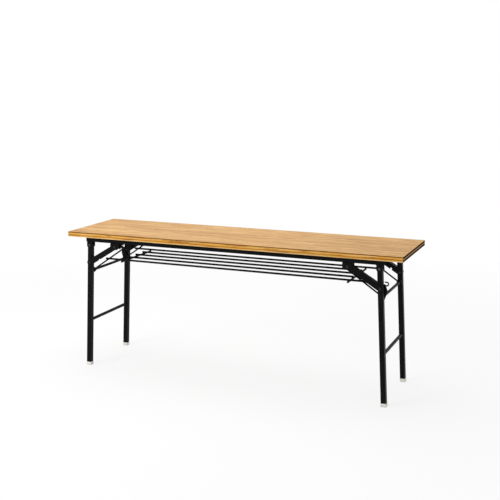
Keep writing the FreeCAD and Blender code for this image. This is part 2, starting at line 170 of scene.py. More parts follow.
def buildWoodGrain():
    # grain runs along the vector's X
    group, given, wanted = newGroup(
        "woodGrain",
        [("Vector", "Vector", None),
         ("Pale", "Color", (0.7, 0.45, 0.2, 1)),
         ("Mid", "Color", (0.6, 0.36, 0.14, 1)),
         ("Dark", "Color", (0.4, 0.2, 0.06, 1)),
         ("Shadow", "Color", (0.9, 0.9, 0.9, 1)),
         ("Light", "Color", (1, 1, 1, 1)),
         ("Figure", "Float", 0.5),
         ("Flecks", "Float", 0.0),
         ("Pores", "Float", 0.5)],
        surfaceOutputs)

    # the grain lines sway a little from side to side
    sway = stretchedNoise(group, given["Vector"], *woodPattern["sway"])
    sway = times(group, mathNode(group, "SUBTRACT", sway, 0.5), woodPattern["swayReach"])
    shift = group.nodes.new("ShaderNodeCombineXYZ")
    plug(group, sway, shift.inputs["Y"])
    plug(group, sway, shift.inputs["Z"])
    bend = addNode(group, "ShaderNodeVectorMath", operation="ADD")
    plug(group, given["Vector"], bend.inputs[0])
    plug(group, shift.outputs["Vector"], bend.inputs[1])
    bent = bend.outputs["Vector"]

    broad = stretchedNoise(group, bent, *woodPattern["broad"])
    patch = stretchedNoise(group, bent, *woodPattern["patch"])
    streak = stretchedNoise(group, bent, *woodPattern["streak"])
    fine = stretchedNoise(group, bent, *woodPattern["fine"])
    poreDash = stretchedNoise(group, bent, *woodPattern["poreDash"])
    pore = smoothRange(group, poreDash, *woodPattern["poreRange"])
    fleckDash = stretchedNoise(group, bent, *woodPattern["fleckDash"])
    fleck = smoothRange(group, fleckDash, *woodPattern["fleckRange"])

    ringMap = addNode(group, "ShaderNodeMapping", {"Scale": woodPattern["ringStretch"]})
    plug(group, bent, ringMap.inputs["Vector"])
    ring = addNode(group, "ShaderNodeTexWave", woodPattern["rings"],
                   wave_type="BANDS", bands_direction="Y", wave_profile="SAW")
    plug(group, ringMap.outputs["Vector"], ring.inputs["Vector"])
    ringWeight = times(group, ring.outputs["Fac"], given["Figure"])

    # streaks, broad bands and rings together pick the tone, and the rings keep its mean
    tone = times(group, streak, woodPattern["streakShare"])
    tone = plus(group, tone, times(group, broad, woodPattern["broadShare"]))
    tone = plus(group, tone, times(group, ringWeight, woodPattern["ringShare"]))
    ringMean = times(group, given["Figure"], woodPattern["ringShare"] / 2)
    tone = mathNode(group, "SUBTRACT", tone, ringMean)

    low = smoothRange(group, tone, *woodPattern["midRange"])
    high = smoothRange(group, tone, *woodPattern["paleRange"])
    color = blendColor(group, low, given["Dark"], given["Mid"])
    color = blendColor(group, high, color, given["Pale"])
    shade = smoothRange(group, fine, *woodPattern["fineShade"])
    shadeColor = group.nodes.new("ShaderNodeCombineColor")
    for channel in ("Red", "Green", "Blue"):
        plug(group, shade, shadeColor.inputs[channel])
    color = blendColor(group, 1.0, color, shadeColor.outputs["Color"], "MULTIPLY")
    lit = smoothRange(group, patch, *woodPattern["patchRange"])
    tint = blendColor(group, lit, given["Shadow"], given["Light"])
    color = blendColor(group, 1.0, color, tint, "MULTIPLY")
    color = blendColor(group, times(group, fleck, given["Flecks"]), color, given["Dark"])
    poreWeight = times(group, pore, given["Pores"])
    color = blendColor(group, poreWeight, color, given["Dark"])
    plug(group, color, wanted["Color"])

    gloss = smoothRange(group, streak, *woodPattern["glossRange"])
    gloss = plus(group, gloss, times(group, poreWeight, woodPattern["poreDulling"]))
    plug(group, gloss, wanted["Roughness"])
    relief = mathNode(group, "SUBTRACT", times(group, fine, woodPattern["fineRelief"]), pore)
    plug(group, relief, wanted["Height"])
    return group


paintPattern = {
    "cloud": (9.0, 3.0),
    "peel": (420.0, 2.0),
    "grit": (1500.0, 1.0),
    "speckRange": (0.72, 0.8, 0.0, 0.35),
    "tintRange": (0.3, 0.7, 0.0, 0.22),
    "glossRange": (0.25, 0.75, -0.05, 0.09),
    "edgeDulling": 0.12,
    "relief": (0.00025, 0.2),
}


def buildPaintSkin():
    # orange-peel relief, cloudy gloss and a few pale specks of a sprayed coat
    group, given, wanted = newGroup(
        "paintSkin",
        [("Paint", "Color", (0.01, 0.01, 0.01, 1)),
         ("Worn", "Color", (0.05, 0.05, 0.05, 1)),
         ("Wear", "Float", 0.0),
         ("Gloss", "Float", 0.35)],
        surfaceOutputs)
    place = objectPlace(group)
    cloud = evenNoise(group, place, *paintPattern["cloud"])
    peel = evenNoise(group, place, *paintPattern["peel"])
    grit = evenNoise(group, place, *paintPattern["grit"])
    speck = smoothRange(group, grit, *paintPattern["speckRange"])
    tint = smoothRange(group, cloud, *paintPattern["tintRange"])
    # the edge mask brings in the worn edges and their painted highlight
    mask = mathNode(group, "ADD", plus(group, tint, speck), given["Wear"], True)
    plug(group, blendColor(group, mask, given["Paint"], given["Worn"]), wanted["Color"])
    gloss = smoothRange(group, cloud, *paintPattern["glossRange"])
    gloss = plus(group, gloss, given["Gloss"])
    gloss = plus(group, gloss, times(group, given["Wear"], paintPattern["edgeDulling"]))
    plug(group, gloss, wanted["Roughness"])
    plug(group, peel, wanted["Height"])
    return group


edgeWearAndHighlightPattern = {
    "samples": 4,
    "cornerRange": (0.72, 0.97, 1.0, 0.0),
    "patch": (55.0, 3.0, 0.6),
    "patchRange": (0.35, 0.65),
}


def buildEdgeWear():
    # bright where a corner is turned within the radius, as worn edges and as a painted highlight that sets
    # the forms apart, and the normal of that corner rounded off
    group, given, wanted = newGroup(
        "edgeWear",
        [("Radius", "Float", 0.001), ("Amount", "Float", 0.5)],
        [("Mask", "Float"), ("Normal", "Vector")])
    bevel = addNode(group, "ShaderNodeBevel", samples=edgeWearAndHighlightPattern["samples"])
    plug(group, given["Radius"], bevel.inputs["Radius"])
    surface = group.nodes.new("ShaderNodeNewGeometry")
    turn = addNode(group, "ShaderNodeVectorMath", operation="DOT_PRODUCT")
    plug(group, bevel.outputs["Normal"], turn.inputs[0])
    plug(group, surface.outputs["Normal"], turn.inputs[1])
    corner = smoothRange(group, turn.outputs["Value"], *edgeWearAndHighlightPattern["cornerRange"])
    patch = evenNoise(group, objectPlace(group), *edgeWearAndHighlightPattern["patch"])
    patch = smoothRange(group, patch, *edgeWearAndHighlightPattern["patchRange"])
    mask = times(group, corner, patch)
    plug(group, times(group, mask, given["Amount"]), wanted["Mask"])
    plug(group, bevel.outputs["Normal"], wanted["Normal"])
    return group


dustPattern = {
    "upwardRange": (0.35, 0.95),
    "cloud": (24.0, 4.0, 0.6),
    "cloudRange": (0.3, 0.7, 0.4, 1.0),
}


def buildDust():
    # a thin film on faces that look up at rest
    group, given, wanted = newGroup(
        "dustFilm",
        [("Color", "Color", (0.5, 0.5, 0.5, 1)),
         ("Dust", "Color", (0.4, 0.37, 0.33, 1)),
         ("Amount", "Float", 0.1)],
        [("Color", "Color"), ("Mask", "Float")])
    coordinates = group.nodes.new("ShaderNodeTexCoord").outputs
    facing = splitPlace(group, coordinates["Normal"])["Z"]
    upward = smoothRange(group, facing, *dustPattern["upwardRange"])
    cloud = evenNoise(group, coordinates["Object"], *dustPattern["cloud"])
    film = times(group, upward, smoothRange(group, cloud, *dustPattern["cloudRange"]))
    film = times(group, film, given["Amount"])
    plug(group, film, wanted["Mask"])
    plug(group, blendColor(group, film, given["Color"], given["Dust"]), wanted["Color"])
    return group


woodGrain = buildWoodGrain()
paintSkin = buildPaintSkin()
edgeWear = buildEdgeWear()
dustFilm = buildDust()
print("shared effects built")


# Materials
def newFinish(name, **plain):
    finish = bpy.data.materials.new(name)
    finish.use_nodes = True
    tree = finish.node_tree
    shader = tree.nodes["Principled BSDF"]
    for key, value in plain.items():
        shader.inputs[key.replace("_", " ")].default_value = value
    return finish, tree, shader


def useGroup(tree, group, **values):
    node = addNode(tree, "ShaderNodeGroup", node_tree=group)
    for key, value in values.items():
        fillSocket(tree, node.inputs[key], value)
    return node.outputs


def plugSurface(tree, shader, color, roughness, height, relief, rounded=None):
    plug(tree, color, shader.inputs["Base Color"])
    plug(tree, roughness, shader.inputs["Roughness"])
    depth, strength = relief
    bump = addNode(tree, "ShaderNodeBump", {"Strength": strength, "Distance": depth})
    plug(tree, height, bump.inputs["Height"])
    if rounded:
        plug(tree, rounded, bump.inputs["Normal"])
    plug(tree, bump.outputs["Normal"], shader.inputs["Normal"])


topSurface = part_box("top_laminate")[1].z
bandLow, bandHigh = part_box("front_edge_band")

laminate = {
    "pale": (0.69, 0.425, 0.160, 1),
    "mid": (0.615, 0.350, 0.116, 1),
    "dark": (0.36, 0.17, 0.044, 1),
    "shadow": (0.80, 0.71, 0.59, 1),
    "light": (1.06, 1.07, 1.05, 1),
    "figure": 0.45,
    "flecks": 0.6,
    "pores": 0.35,
    "edgeBrown": (0.16, 0.075, 0.022, 1),
    "edgeFrom": 0.0003,
    "edgeTo": 0.00055,
    "dust": (0.6, 0.55, 0.47, 1),
    "dustAmount": 0.05,
    "specular": 0.09,
}


def makeLaminate():
    finish, tree, shader = newFinish("woodGrainTop", Specular_IOR_Level=laminate["specular"])
    place = objectPlace(tree)
    grain = useGroup(tree, woodGrain, Vector=place, Pale=laminate["pale"], Mid=laminate["mid"],
                     Dark=laminate["dark"], Shadow=laminate["shadow"], Light=laminate["light"],
                     Figure=laminate["figure"], Flecks=laminate["flecks"], Pores=laminate["pores"])
    # the sheet's own cut edge is bare brown
    height = splitPlace(tree, place)["Z"]
    cutEdge = smoothRange(tree, height, topSurface - laminate["edgeTo"], topSurface - laminate["edgeFrom"],
                          1.0, 0.0)
    color = blendColor(tree, cutEdge, grain["Color"], laminate["edgeBrown"])
    dust = useGroup(tree, dustFilm, Color=color, Dust=laminate["dust"], Amount=laminate["dustAmount"])
    plugSurface(tree, shader, dust["Color"], grain["Roughness"], grain["Height"], woodPattern["relief"])
    return finish


# The long band is the top's grain painted brighter and more golden, as painted light on the front face
longBandPaintedLight = {
    "pale": (0.87, 0.485, 0.115, 1),
    "mid": (0.80, 0.395, 0.065, 1),
    "dark": (0.46, 0.18, 0.022, 1),
    "figure": 0.2,
    "pores": 0.3,
    "streak": (0.34, 0.112, 0.012, 1),
    "streakNoise": ((11.0, 180.0, 180.0), 3.0, 0.55),
    "streakRange": (0.5, 0.64, 0.0, 0.9),
    "gleam": (0.86, 0.56, 0.22, 1),
    "gleamNoise": ((7.5, 150.0, 150.0), 3.0, 0.55, (4.0, 2.0, 9.0)),
    "gleamRange": (0.54, 0.7, 0.0, 0.65),
    "waver": (5.0, 3.0),
    "waverReach": 0.006,
    "upperDarkLine": (0.20, 0.078, 0.014, 1),
    "upperLineDepth": (0.006, 0.002),      # down from the top
    "lowerLine": (0.37, 0.14, 0.012, 1),
    "lowerStart": (0.006, 0.009),     # up from the bottom
    "lowerStop": (0.010, 0.014),
    "lowerWeight": 0.85,
    "paintedBottomHighlight": (0.88, 0.62, 0.31, 1),
    "bottomHighlightFade": (0.0015, 0.005),
    "bottomHighlightWeight": 0.75,
    "specular": 0.08,
}


def makeLongBandPaintedLight():
    finish, tree, shader = newFinish("longEdgeBandPaintedLight", Specular_IOR_Level=longBandPaintedLight["specular"])
    place = objectPlace(tree)
    grain = useGroup(tree, woodGrain, Vector=place, Pale=longBandPaintedLight["pale"], Mid=longBandPaintedLight["mid"],
                     Dark=longBandPaintedLight["dark"], Figure=longBandPaintedLight["figure"], Pores=longBandPaintedLight["pores"])
    dim = stretchedNoise(tree, place, *longBandPaintedLight["streakNoise"])
    dim = smoothRange(tree, dim, *longBandPaintedLight["streakRange"])
    lit = stretchedNoise(tree, place, *longBandPaintedLight["gleamNoise"])
    lit = smoothRange(tree, lit, *longBandPaintedLight["gleamRange"])
    color = blendColor(tree, lit, grain["Color"], longBandPaintedLight["gleam"])
    color = blendColor(tree, dim, color, longBandPaintedLight["streak"])

    # lines along the band: the upper one is straight, the lower ones waver
    height = splitPlace(tree, place)["Z"]
    waver = mathNode(tree, "SUBTRACT", evenNoise(tree, place, *longBandPaintedLight["waver"]), 0.5)
    level = plus(tree, height, times(tree, waver, longBandPaintedLight["waverReach"]))
    # the top few millimetres of the band darker
    upperLineStart, upperLineStop = (bandHigh.z - depth for depth in longBandPaintedLight["upperLineDepth"])
    color = blendColor(tree, smoothRange(tree, height, upperLineStart, upperLineStop), color, longBandPaintedLight["upperDarkLine"])
    lineIn = smoothRange(tree, level, *(bandLow.z + rise for rise in longBandPaintedLight["lowerStart"]))
    lineOut = smoothRange(tree, level, *(bandLow.z + rise for rise in longBandPaintedLight["lowerStop"]), 1.0, 0.0)
    lineWeight = times(tree, times(tree, lineIn, lineOut), longBandPaintedLight["lowerWeight"])
    color = blendColor(tree, lineWeight, color, longBandPaintedLight["lowerLine"])
    # a painted highlight along the lower edge, lighter as if the rounded edge caught the light
    bottomHighlightMask = smoothRange(tree, level, *(bandLow.z + rise for rise in longBandPaintedLight["bottomHighlightFade"]),
                          longBandPaintedLight["bottomHighlightWeight"], 0.0)
    color = blendColor(tree, bottomHighlightMask, color, longBandPaintedLight["paintedBottomHighlight"])
    plugSurface(tree, shader, color, grain["Roughness"], grain["Height"], woodPattern["relief"])
    return finish


# The end band is the top's grain painted dark, as painted shade on the end face
endBandPaintedShade = {
    "pale": (0.10, 0.036, 0.008, 1),
    "mid": (0.065, 0.021, 0.003, 1),
    "dark": (0.036, 0.010, 0.001, 1),
    "figure": 0.2,
    "pores": 0.3,
    "middle": (0.60, 0.42, 0.25, 1),
    "middleRange": (0.0012, 0.004, 0.85, 0.0),    # away from the line
    "lineRise": 0.0008,                           # of the line, from the band's mid height
    "rim": (0.030, 0.008, 0.001, 1),
    "rimRange": (0.0075, 0.0105, 0.0, 0.85),
    "specular": 0.0,
}


def makeEndBandPaintedShade():
    finish, tree, shader = newFinish("endEdgeBandPaintedShade", Specular_IOR_Level=endBandPaintedShade["specular"])
    parts = splitPlace(tree, objectPlace(tree))
    # the grain runs along Y here
    acrossEnd = tree.nodes.new("ShaderNodeCombineXYZ")
    plug(tree, parts["Y"], acrossEnd.inputs["X"])
    plug(tree, parts["X"], acrossEnd.inputs["Y"])
    plug(tree, parts["Z"], acrossEnd.inputs["Z"])
    grain = useGroup(tree, woodGrain, Vector=acrossEnd.outputs["Vector"], Pale=endBandPaintedShade["pale"],
                     Mid=endBandPaintedShade["mid"], Dark=endBandPaintedShade["dark"], Figure=endBandPaintedShade["figure"],
                     Pores=endBandPaintedShade["pores"])
    # a lighter line along the middle, and painted shade darkening the top and bottom rims
    centre = (bandLow.z + bandHigh.z) / 2 + endBandPaintedShade["lineRise"]
    away = mathNode(tree, "ABSOLUTE", mathNode(tree, "SUBTRACT", parts["Z"], centre))
    middle = smoothRange(tree, away, *endBandPaintedShade["middleRange"])
    color = blendColor(tree, middle, grain["Color"], endBandPaintedShade["middle"])
    color = blendColor(tree, smoothRange(tree, away, *endBandPaintedShade["rimRange"]), color, endBandPaintedShade["rim"])
    plugSurface(tree, shader, color, grain["Roughness"], grain["Height"], woodPattern["relief"])
    return finish


coreBoard = {
    "chips": 260.0,
    "pale": (0.56, 0.40, 0.24, 1),
    "dark": (0.34, 0.22, 0.12, 1),
    "glossRange": (0.0, 1.0, 0.75, 0.92),
    "relief": (0.0004, 0.4),
    "specular": 0.1,
}


def makeCoreBoard():
    # pressed chips, seen only in the screw holes
    finish, tree, shader = newFinish("coreBoard", Specular_IOR_Level=coreBoard["specular"])
    chips = addNode(tree, "ShaderNodeTexVoronoi", {"Scale": coreBoard["chips"]})
    plug(tree, objectPlace(tree), chips.inputs["Vector"])
    chip = splitPlace(tree, chips.outputs["Color"])["X"]
    color = blendColor(tree, chip, coreBoard["pale"], coreBoard["dark"])
    gloss = smoothRange(tree, chip, *coreBoard["glossRange"])
    plugSurface(tree, shader, color, gloss, chips.outputs["Distance"], coreBoard["relief"])
    return finish


backing = {
    "brown": (0.30, 0.215, 0.145, 1),
    "pale": (0.39, 0.29, 0.20, 1),
    "cloud": (7.0, 4.0, 0.6),
    "cloudRange": (0.3, 0.7),
    "line": (0.24, 0.165, 0.105, 1),
    "lineNoise": ((3.0, 700.0, 20.0), 2.0),
    "lineRange": (0.45, 0.75, 0.0, 0.3),
    "fibre": (0.47, 0.37, 0.27, 1),
    "fibreNoise": (380.0, 3.0, 0.7),
    "fibreRange": (0.6, 0.75, 0.0, 0.35),
    "glossRange": (0.3, 0.7, 0.62, 0.78),
    "relief": (0.0002, 0.3),
    "specular": 0.15,
}


def makeBacking():
    # brown balancing paper with faint sanding lines
    finish, tree, shader = newFinish("backingPaper", Specular_IOR_Level=backing["specular"])
    place = objectPlace(tree)
    cloud = evenNoise(tree, place, *backing["cloud"])
    lines = stretchedNoise(tree, place, *backing["lineNoise"])
    fibre = evenNoise(tree, place, *backing["fibreNoise"])
    faded = smoothRange(tree, cloud, *backing["cloudRange"])
    color = blendColor(tree, faded, backing["brown"], backing["pale"])
    color = blendColor(tree, smoothRange(tree, lines, *backing["lineRange"]), color, backing["line"])
    color = blendColor(tree, smoothRange(tree, fibre, *backing["fibreRange"]), color, backing["fibre"])
    gloss = smoothRange(tree, cloud, *backing["glossRange"])
    plugSurface(tree, shader, color, gloss, fibre, backing["relief"])
    return finish


blackPaint = {
    "paint": (0.0036, 0.0034, 0.0037, 1),
    "wornAndHighlit": (0.015, 0.015, 0.0155, 1),
    "specular": 0.06,
    "gloss": 0.38,
    "edgeRadius": 0.0012,
    "wearAndHighlight": 0.5,
    "dust": 0.012,
}
rivetPaint = {
    "paint": (0.008, 0.008, 0.0083, 1),
    "wornAndHighlit": (0.055, 0.054, 0.052, 1),
    "specular": 0.22,
    "gloss": 0.32,
    "edgeRadius": 0.0008,
    "wearAndHighlight": 0.8,
    "dust": 0.02,
}


def makePaint(name, coat):
    finish, tree, shader = newFinish(name, Specular_IOR_Level=coat["specular"])
    # edges lighter, as wear and as a painted highlight
    wearAndHighlight = useGroup(tree, edgeWear, Radius=coat["edgeRadius"], Amount=coat["wearAndHighlight"])
    skin = useGroup(tree, paintSkin, Paint=coat["paint"], Worn=coat["wornAndHighlit"], Wear=wearAndHighlight["Mask"],
                    Gloss=coat["gloss"])
    film = useGroup(tree, dustFilm, Color=skin["Color"], Amount=coat["dust"])
    plugSurface(tree, shader, film["Color"], skin["Roughness"], skin["Height"], paintPattern["relief"],
                wearAndHighlight["Normal"])
    return finish


footCap = {
    "ivory": (0.87, 0.85, 0.80, 1),
    "shade": (0.80, 0.77, 0.70, 1),
    "cloud": (60.0, 3.0),
    "cloudRange": (0.3, 0.7),
    "scuff": (0.30, 0.27, 0.23, 1),
    "scuffHeight": 0.004,
    "scuffWeight": 0.8,
    "scratch": ((240.0, 240.0, 900.0), 3.0, 0.65),
    "scratchRange": (0.35, 0.65, 0.35, 1.0),
    "glossRange": (0.3, 0.7, 0.36, 0.5),
    "relief": (0.0001, 0.25),
    "specular": 0.4,
    "softness": 0.12,
    "softDepth": 0.004,
}


def makeIvory():
    finish, tree, shader = newFinish("ivoryCap", Specular_IOR_Level=footCap["specular"],
                                     Subsurface_Weight=footCap["softness"],
                                     Subsurface_Scale=footCap["softDepth"])
    place = objectPlace(tree)
    cloud = smoothRange(tree, evenNoise(tree, place, *footCap["cloud"]), *footCap["cloudRange"])
    mottled = blendColor(tree, cloud, footCap["ivory"], footCap["shade"])
    # scuffed near the floor
    height = splitPlace(tree, place)["Z"]
    scratch = stretchedNoise(tree, place, *footCap["scratch"])
    low = smoothRange(tree, height, 0.0, footCap["scuffHeight"], footCap["scuffWeight"], 0.0)
    rub = times(tree, low, smoothRange(tree, scratch, *footCap["scratchRange"]))
    color = blendColor(tree, rub, mottled, footCap["scuff"])
    gloss = smoothRange(tree, scratch, *footCap["glossRange"])
    plugSurface(tree, shader, color, gloss, scratch, footCap["relief"])
    return finish


nylonShoe = {
    "dark": (0.022, 0.022, 0.023, 1),
    "rubbed": (0.075, 0.074, 0.07, 1),
    "drag": ((14.0, 420.0, 420.0), 3.0, 0.6),
    "dragRange": (0.4, 0.75),
    "glossRange": (0.3, 0.7, 0.45, 0.62),
    "relief": (0.00015, 0.3),
    "specular": 0.4,
}


def makeNylon():
    # drag marks along the rail
    finish, tree, shader = newFinish("nylonShoe", Specular_IOR_Level=nylonShoe["specular"])
    drag = stretchedNoise(tree, objectPlace(tree), *nylonShoe["drag"])
    marks = smoothRange(tree, drag, *nylonShoe["dragRange"])
    color = blendColor(tree, marks, nylonShoe["dark"], nylonShoe["rubbed"])
    gloss = smoothRange(tree, drag, *nylonShoe["glossRange"])
    plugSurface(tree, shader, color, gloss, drag, nylonShoe["relief"])
    return finish


fastenerSteel = {
    "dark": (0.035, 0.035, 0.037, 1),
    "light": (0.085, 0.084, 0.082, 1),
    "marks": ((900.0, 120.0, 900.0), 3.0, 0.6),
    "marksRange": (0.3, 0.75),
    "wornAndHighlit": (0.30, 0.295, 0.285, 1),
    "edgeRadius": 0.0006,
    "wearAndHighlight": 0.7,
    "glossRange": (0.3, 0.7, 0.3, 0.45),
    "metalRange": (0.2, 0.8, 0.75, 0.95),
    "relief": (0.00012, 0.3),
    "specular": 0.5,
}


def makeFastener():
    # blackened steel with turning marks
    finish, tree, shader = newFinish("blackenedSteel", Specular_IOR_Level=fastenerSteel["specular"])
    # edges lighter, as bare worn steel and as a painted highlight
    wearAndHighlight = useGroup(tree, edgeWear, Radius=fastenerSteel["edgeRadius"], Amount=fastenerSteel["wearAndHighlight"])
    marks = stretchedNoise(tree, objectPlace(tree), *fastenerSteel["marks"])
    color = blendColor(tree, smoothRange(tree, marks, *fastenerSteel["marksRange"]),
                       fastenerSteel["dark"], fastenerSteel["light"])
    color = blendColor(tree, wearAndHighlight["Mask"], color, fastenerSteel["wornAndHighlit"])
    gloss = smoothRange(tree, marks, *fastenerSteel["glossRange"])
    plug(tree, smoothRange(tree, marks, *fastenerSteel["metalRange"]), shader.inputs["Metallic"])
    plugSurface(tree, shader, color, gloss, marks, fastenerSteel["relief"], wearAndHighlight["Normal"])
    return finish


finishes = {
    "wood_grain_top": makeLaminate(),
    "long_edge": makeLongBandPaintedLight(),
    "end_edge": makeEndBandPaintedShade(),
    "board_core": makeCoreBoard(),
    "backing": makeBacking(),
    "black_steel": makePaint("blackPaint", blackPaint),
    "black_rivet": makePaint("rivetPaint", rivetPaint),
    "dark_fasteners": makeFastener(),
    "white_cap": makeIvory(),
    "nylon_shoe": makeNylon(),
}
slotOf = {part["node"]: part["material_slot"] for part in frame["record"]["subparts"]}


def dressNodes():
    for name, piece in nodes.items():
        finish = finishes[slotOf[name]]
        if not piece.material_slots:
            piece.data.materials.append(finish)
        for slot in piece.material_slots:
            slot.material = finish


dressNodes()
print("finishes on", len(nodes), "nodes")


# Helpers for the pieces that Blender adds
def placePiece(name, mesh, body, slot):
    for face in mesh.polygons:
        face.use_smooth = True
    piece = bpy.data.objects.new(name, mesh)
    bpy.context.scene.collection.objects.link(piece)
    mesh.materials.append(finishes[slot])
    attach(piece, body)
    return piece


def meshFrom(name, build, sharpFrom=None):
    shape = bmesh.new()
    build(shape)
    bmesh.ops.recalc_face_normals(shape, faces=shape.faces)
    if sharpFrom:
        for edge in shape.edges:
            edge.smooth = edge.calc_face_angle(0.0) < sharpFrom
    mesh = bpy.data.meshes.new(name)
    shape.to_mesh(mesh)
    shape.free()
    return mesh


def joinLoops(shape, loops, closed):
    pairs = list(zip(loops, loops[1:]))
    if closed:
        pairs.append((loops[-1], loops[0]))
    for first, second in pairs:
        count = len(first)
        for k in range(count):
            after = (k + 1) % count
            shape.faces.new((first[k], first[after], second[after], second[k]))


def capLoops(shape, loops):
    shape.faces.new(loops[0])
    shape.faces.new(loops[-1][::-1])


# Weld beads, riding on what they join
weld = {
    # out along the plate, up the bar, with a full belly between, as shares (off the bar, off the plate)
    "profile": [(1, -0.1), (0.93, 0.32), (0.62, 0.62), (0.32, 0.93), (-0.1, 1), (-0.3, 0.4), (0.2, -0.2)],
    "bead": 0.0026,
    "around": 78,
    "ripples": 13,
    "rippleDepth": 0.2,
    "stitchLength": 0.024,
    "stitchBead": 0.0021,
    "stitchSteps": 40,
    "stitchRipples": 9,
    "stitchTaper": 6,
    "stitchLeast": 0.00015,
    "dotShare": (0.85, 0.85, 0.5),
    "dotRounds": 3,
    "dotSwell": 0.14,
    "dotLumps": 2.1,
    "dotChange": 97.0,
    "longWires": 5,
}


def weldProfile(bead):
    return [(bead * off, bead * up) for off, up in weld["profile"]]


def weldRing(name, centre, radius, way, body):
    # a bead round a bar along Y, way points from the plate to the bar
    def build(shape):
        loops = []
        for step in range(weld["around"]):
            turn = 2 * math.pi * step / weld["around"]
            ripple = 1 - weld["rippleDepth"] * abs(math.sin(weld["ripples"] * turn / 2))
            loop = []
            for off, up in weldProfile(weld["bead"] * ripple):
                reach = radius + off
                spot = Vector((reach * math.cos(turn), way * up, reach * math.sin(turn)))
                loop.append(shape.verts.new(centre + spot))
            loops.append(loop)
        joinLoops(shape, loops, True)
    return placePiece(name, meshFrom(name, build), body, "black_steel")


def weldStitch(name, start, along, out, up, body):
    # a short straight bead in a corner between a face across "out" and a face across "up"
    def build(shape):
        loops = []
        for step in range(weld["stitchSteps"] + 1):
            share = step / weld["stitchSteps"]
            taper = min(1.0, weld["stitchTaper"] * share, weld["stitchTaper"] * (1 - share)) ** 0.5
            ripple = 1 - weld["rippleDepth"] * abs(math.sin(weld["stitchRipples"] * math.pi * share))
            size = max(weld["stitchBead"] * ripple * taper, weld["stitchLeast"])
            at = start + along * (weld["stitchLength"] * share)
            profile = weldProfile(size)
            loops.append([shape.verts.new(at + out * off + up * rise) for off, rise in profile])
        joinLoops(shape, loops, False)
        capLoops(shape, loops)
    return placePiece(name, meshFrom(name, build), body, "black_steel")


def weldDot(name, centre, wireRadius, body):
    # a small uneven blob where two wires cross
    size = [wireRadius * share for share in weld["dotShare"]]

    def build(shape):
        bmesh.ops.create_icosphere(shape, subdivisions=weld["dotRounds"], radius=1.0)
        for vert in shape.verts:
            lump = noise.noise(vert.co * weld["dotLumps"] + centre * weld["dotChange"])
            swell = 1 + weld["dotSwell"] * lump
            vert.co = centre + Vector(c * s * swell for c, s in zip(vert.co, size))
    return placePiece(name, meshFrom(name, build), body, "black_steel")


def weldCrossbar(end):
    low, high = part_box(end + "_crossbar")
    middle = (low + high) / 2
    radius = (high.z - low.z) / 2
    for row, y, way in (("front", low.y, 1), ("back", high.y, -1)):
        centre = Vector((middle.x, y, middle.z))
        weldRing(f"{end}_crossbar_{row}_weld", centre, radius, way, end + "_legs")


def weldShelf(end):
    low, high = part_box(end + "_shelf_crosswire")
    crossX = (low.x + high.x) / 2
    wireRadius = (high.x - low.x) / 2
    wireYs = []
    for wire in ("front_shelf_wire", "back_shelf_wire"):
        wireLow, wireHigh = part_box(wire)
        wireYs.append((wireLow.y + wireHigh.y) / 2)
    gaps = weld["longWires"] - 1
    for index in range(weld["longWires"]):
        y = wireYs[0] + (wireYs[1] - wireYs[0]) * index / gaps
        weldDot(f"{end}_shelf_weld_{index}", Vector((crossX, y, high.z)), wireRadius, "shelf")


def weldHangers(end):
    along = Vector((1, 0, 0))
    up = Vector((0, 0, 1))
    for row in ("front", "back"):
        low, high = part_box(f"{row}_{end}_hanger")
        railLow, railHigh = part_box(f"{row}_rail")
        startX = (low.x + high.x) / 2 - weld["stitchLength"] / 2
        for side, y, way in (("front", railLow.y, -1), ("back", railHigh.y, 1)):
            start = Vector((startX, y, high.z))
            out = Vector((0, way, 0))
            weldStitch(f"{row}_{end}_hanger_{side}_weld", start, along, out, up, "table_top")


for end in tableEnds:
    weldCrossbar(end)
    weldShelf(end)
    weldHangers(end)
print("welds added")


# Turned fasteners with the sockets, threads, chamfers and crowns that the solids leave out
turning = {
    "around": 60,
    "sharpFrom": 0.6,
    "crownSteps": 7,
    "mergeDistance": 1e-6,
}


def solidBoxes(name):
    # the box of each solid in a node
    shape = bmesh.new()
    shape.from_mesh(nodes[name].data)
    bmesh.ops.remove_doubles(shape, verts=shape.verts, dist=turning["mergeDistance"])
    seen = set()
    boxes = []
    for first in shape.verts:
        if first in seen:
            continue
        seen.add(first)
        stack = [first]
        found = []
        while stack:
            vert = stack.pop()
            found.append(vert.co.copy())
            for edge in vert.link_edges:
                other = edge.other_vert(vert)
                if other not in seen:
                    seen.add(other)
                    stack.append(other)
        low = Vector(min(place[axis] for place in found) for axis in range(3))
        high = Vector(max(place[axis] for place in found) for axis in range(3))
        boxes.append((low, high))
    shape.free()
    return boxes


def hexagon(flats):
    sixth = math.pi / 3
    return lambda angle: flats / 2 / math.cos(angle % sixth - sixth / 2)


def threadTurn(radius, depth, pitch, offset):
    return lambda angle: radius - depth * abs(2 * ((offset / pitch + angle / (2 * math.pi)) % 1) - 1)


def addTurned(shape, start, axis, rows, hollow):
    # rows of (way along the axis, radius or a rule for it by angle)
    side = Vector((1, 0, 0))
    up = axis.cross(side)
    loops = []
    for offset, radius in rows:
        loop = []
        for step in range(turning["around"]):
            angle = 2 * math.pi * step / turning["around"]
            reach = radius(angle) if callable(radius) else radius
            spoke = side * math.cos(angle) + up * math.sin(angle)
            loop.append(shape.verts.new(start + axis * offset + spoke * reach))
        loops.append(loop)
    joinLoops(shape, loops, hollow)
    if not hollow:
        capLoops(shape, loops)


def replaceTurned(node, body, slot, rowsOf, hollow=False):
    # rowsOf gives the start, the axis and the rows for the box of one solid
    def build(shape):
        for low, high in solidBoxes(node):
            start, axis, rows = rowsOf(low, high)
            addTurned(shape, start, axis, rows, hollow)
    piece = placePiece(node + "_turned", meshFrom(node, build, turning["sharpFrom"]), body, slot)
    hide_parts(node)


def startAt(low, high, y):
    return Vector(((low.x + high.x) / 2, y, (low.z + high.z) / 2))


